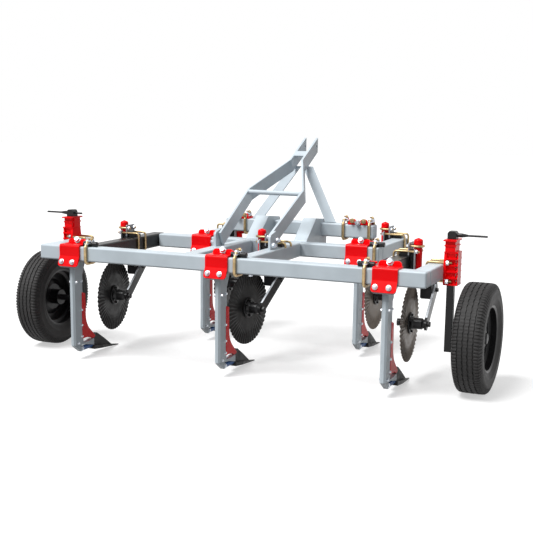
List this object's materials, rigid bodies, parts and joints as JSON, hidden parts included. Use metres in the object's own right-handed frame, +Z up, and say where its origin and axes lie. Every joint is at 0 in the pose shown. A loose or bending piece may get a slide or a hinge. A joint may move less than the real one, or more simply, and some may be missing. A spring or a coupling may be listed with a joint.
{
  "type": "deep-ripping plow",
  "caption": "Three-point mounted subsoil plow: square-tube frame, ripping shanks with shares, swivelling disc coulters and screw-set gauge wheels.",
  "frame": {"origin": "on the floor under the middle of the whole machine's box", "axes": "+X to the machine's right, +Y forward in the direction of travel, +Z up"},
  "size_m": [3.384, 1.7538, 1.5285],
  "materials": {
    "silver_paint": "satin silver-grey paint",
    "red_paint": "gloss red paint",
    "black_paint": "semi-gloss black paint",
    "blue_paint": "worn blue paint",
    "worn_steel": "bare steel, dull with soil wear",
    "zinc_yellow": "yellow zinc plating",
    "zinc_bright": "bright zinc plating",
    "tyre_rubber": "matte black rubber"
  },
  "bodies": {
    "frame": {"centre_rail_left": "silver_paint", "centre_rail_right": "silver_paint", "coulter_post_clamps": "black_paint", "coulter_posts": "red_paint", "coulter_stubs": "silver_paint", "cranks": "black_paint", "front_bar": "silver_paint", "goosenecks": "silver_paint", "hitch_brackets": "red_paint", "jacks": "red_paint", "mast_braces": "silver_paint", "mast_cross_members": "silver_paint", "mast_leg_left": "silver_paint", "mast_leg_right": "silver_paint", "mast_lugs": "silver_paint", "mid_bar": "silver_paint", "outer_rail_left": "black_paint", "outer_rail_right": "black_paint", "rear_bar": "silver_paint", "shank_1": "silver_paint", "shank_2": "silver_paint", "shank_3": "silver_paint", "shank_4": "silver_paint", "shank_5": "silver_paint", "shank_clamps": "red_paint", "share_heel_blocks": "blue_paint", "shares": "worn_steel", "shin_guards": "red_paint", "side_arms": "silver_paint"},
    "leg_left": {"wheel_leg_left": "black_paint"},
    "wheel_left": {"wheel_rim_left": "black_paint", "tyre_left": "tyre_rubber"},
    "leg_right": {"wheel_leg_right": "black_paint"},
    "wheel_right": {"wheel_rim_right": "black_paint", "tyre_right": "tyre_rubber"},
    "coulter_1": {"coulter_arm_1": "black_paint"},
    "disc_1": {"coulter_disc_1": "worn_steel"},
    "coulter_2": {"coulter_arm_2": "black_paint"},
    "disc_2": {"coulter_disc_2": "worn_steel"},
    "coulter_3": {"coulter_arm_3": "black_paint"},
    "disc_3": {"coulter_disc_3": "worn_steel"},
    "coulter_4": {"coulter_arm_4": "black_paint"},
    "disc_4": {"coulter_disc_4": "worn_steel"},
    "coulter_5": {"coulter_arm_5": "black_paint"},
    "disc_5": {"coulter_disc_5": "worn_steel"}
  },
  "joints": [
    {"name": "wheel_height_left", "type": "slide", "parent": "frame", "child": "leg_left", "axis": [0, 0, 1], "range_m": [-0.04, 0.1675]},
    {"name": "wheel_spin_left", "type": "hinge", "parent": "leg_left", "child": "wheel_left", "pos_m": [-1.596, -0.38986, 0.348], "axis": [1, 0, 0], "continuous": true},
    {"name": "wheel_height_right", "type": "slide", "parent": "frame", "child": "leg_right", "axis": [0, 0, 1], "range_m": [-0.04, 0.1675]},
    {"name": "wheel_spin_right", "type": "hinge", "parent": "leg_right", "child": "wheel_right", "pos_m": [1.596, -0.38986, 0.348], "axis": [1, 0, 0], "continuous": true},
    {"name": "coulter_swivel_1", "type": "hinge", "parent": "frame", "child": "coulter_1", "pos_m": [-1.123, -0.13986, 0.64], "axis": [0, 0, 1], "range_deg": [-17.5, 6.5]},
    {"name": "coulter_spin_1", "type": "hinge", "parent": "coulter_1", "child": "disc_1", "pos_m": [-1.10575, -0.31903, 0.388], "axis": [0.9954, 0.0958, 0], "continuous": true},
    {"name": "coulter_swivel_2", "type": "hinge", "parent": "frame", "child": "coulter_2", "pos_m": [-0.61, 0.75314, 0.64], "axis": [0, 0, 1], "range_deg": [-12, 12]},
    {"name": "coulter_spin_2", "type": "hinge", "parent": "coulter_2", "child": "disc_2", "pos_m": [-0.61, 0.57315, 0.388], "axis": [1, 0, 0], "continuous": true},
    {"name": "coulter_swivel_3", "type": "hinge", "parent": "frame", "child": "coulter_3", "pos_m": [0, -0.13986, 0.64], "axis": [0, 0, 1], "range_deg": [-5.5, 18.5]},
    {"name": "coulter_spin_3", "type": "hinge", "parent": "coulter_3", "child": "disc_3", "pos_m": [-0.02038, -0.3187, 0.388], "axis": [0.9936, -0.1132, 0], "continuous": true},
    {"name": "coulter_swivel_4", "type": "hinge", "parent": "frame", "child": "coulter_4", "pos_m": [0.61, 0.75314, 0.64], "axis": [0, 0, 1], "range_deg": [-12, 12]},
    {"name": "coulter_spin_4", "type": "hinge", "parent": "coulter_4", "child": "disc_4", "pos_m": [0.61, 0.57315, 0.388], "axis": [1, 0, 0], "continuous": true},
    {"name": "coulter_swivel_5", "type": "hinge", "parent": "frame", "child": "coulter_5", "pos_m": [1.123, -0.13986, 0.64], "axis": [0, 0, 1], "range_deg": [-15.5, 8.5]},
    {"name": "coulter_spin_5", "type": "hinge", "parent": "coulter_5", "child": "disc_5", "pos_m": [1.13399, -0.31952, 0.388], "axis": [0.9981, 0.061, 0], "continuous": true}
  ]
}
